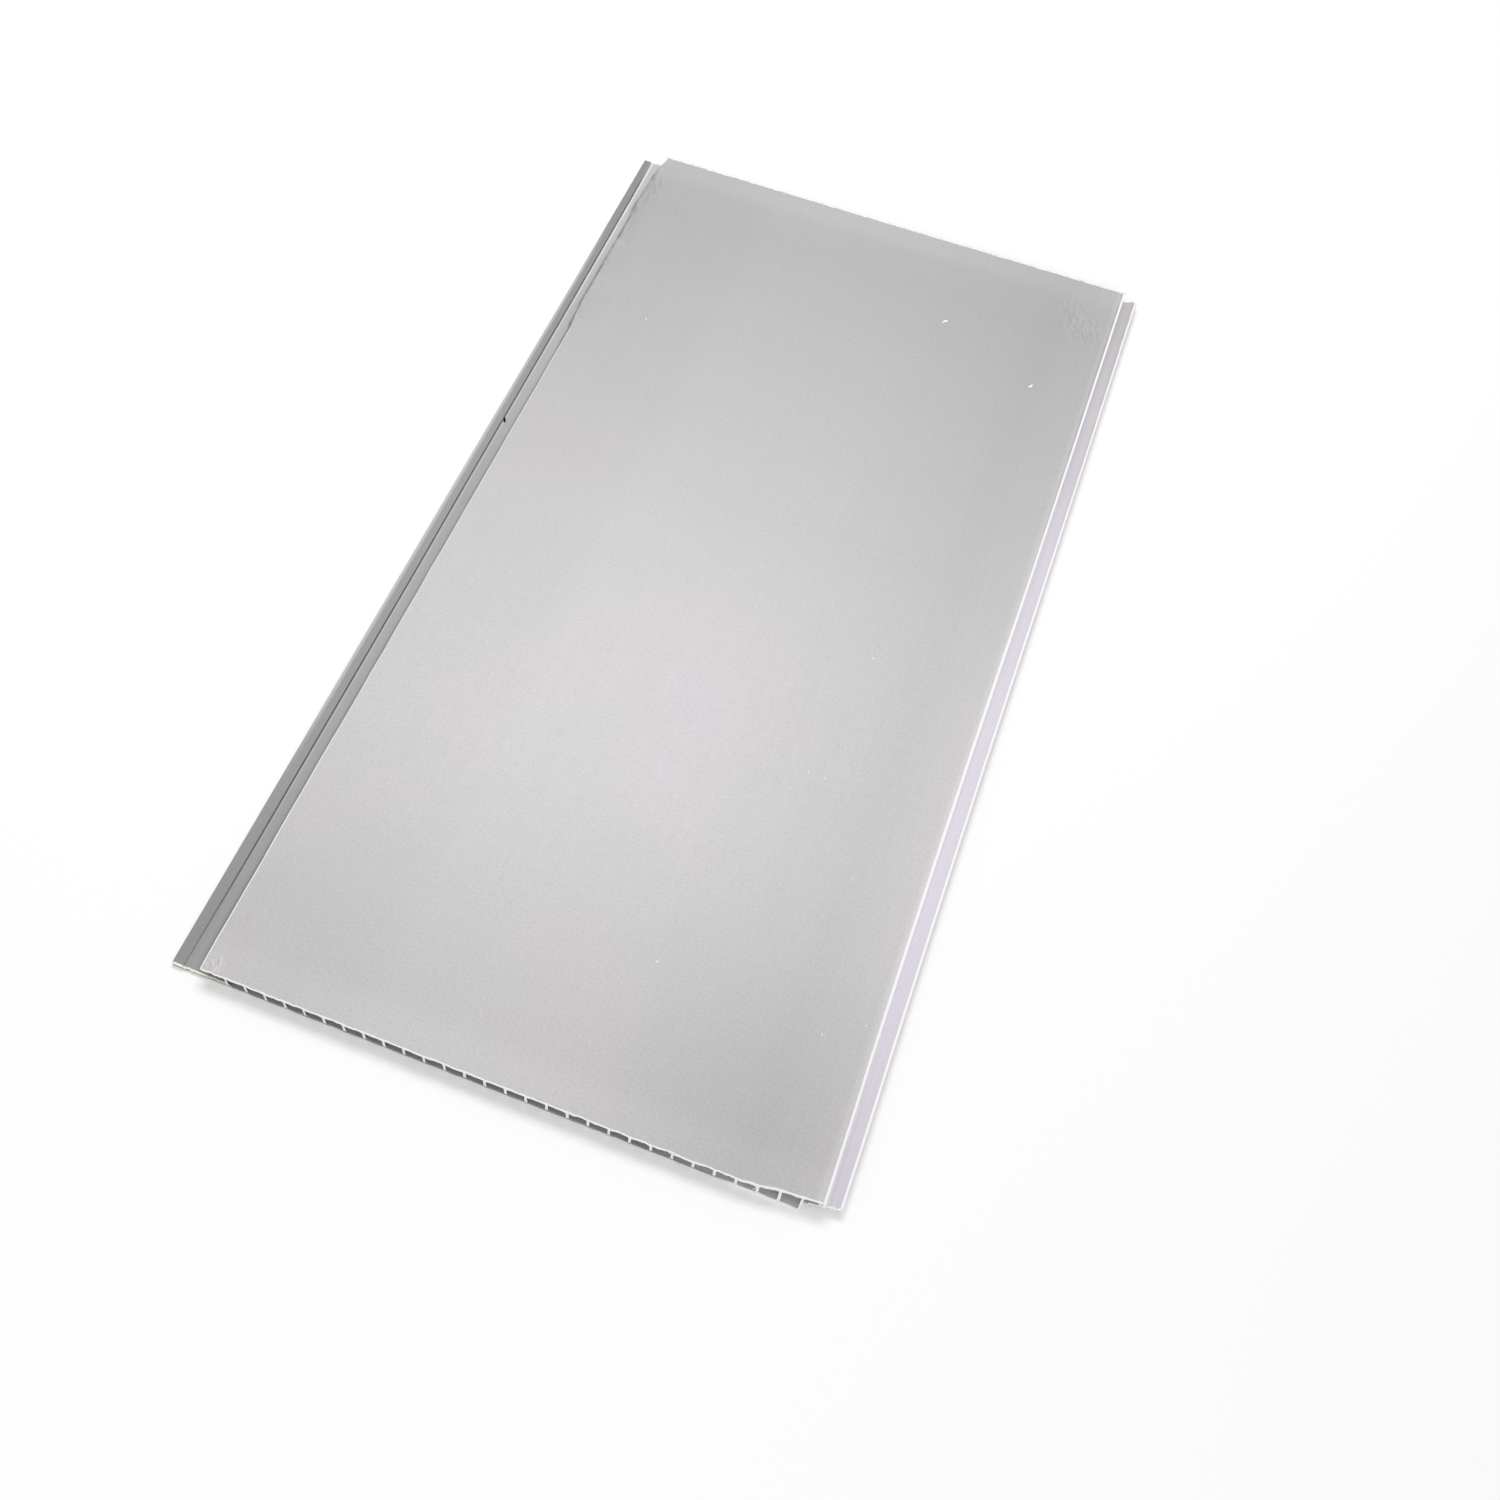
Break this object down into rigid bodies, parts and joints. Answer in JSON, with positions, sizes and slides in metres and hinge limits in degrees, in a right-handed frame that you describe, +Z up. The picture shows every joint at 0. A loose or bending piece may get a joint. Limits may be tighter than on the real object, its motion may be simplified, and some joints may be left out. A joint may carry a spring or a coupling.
{
  "type": "pvc ceiling strip",
  "caption": "Flat hollow-core plastic ceiling strip with cells along its length, a tongue on one long edge and a grooved screw flange on the other.",
  "frame": {"origin": "centre of the strip's bounding box in plan, on the level floor that its back lies on", "axes": "+Y along the strip, away from the end with the wandering saw cut; +X across it, from the screw flange to the tongue; +Z up, out of the finished face"},
  "size_m": [0.2714, 0.5, 0.0075],
  "materials": {
    "pvc": "semi-gloss white rigid PVC, finished face up, whitened saw-cut ends"
  },
  "bodies": {
    "root": {"ceiling_strip": "pvc"}
  },
  "joints": []
}
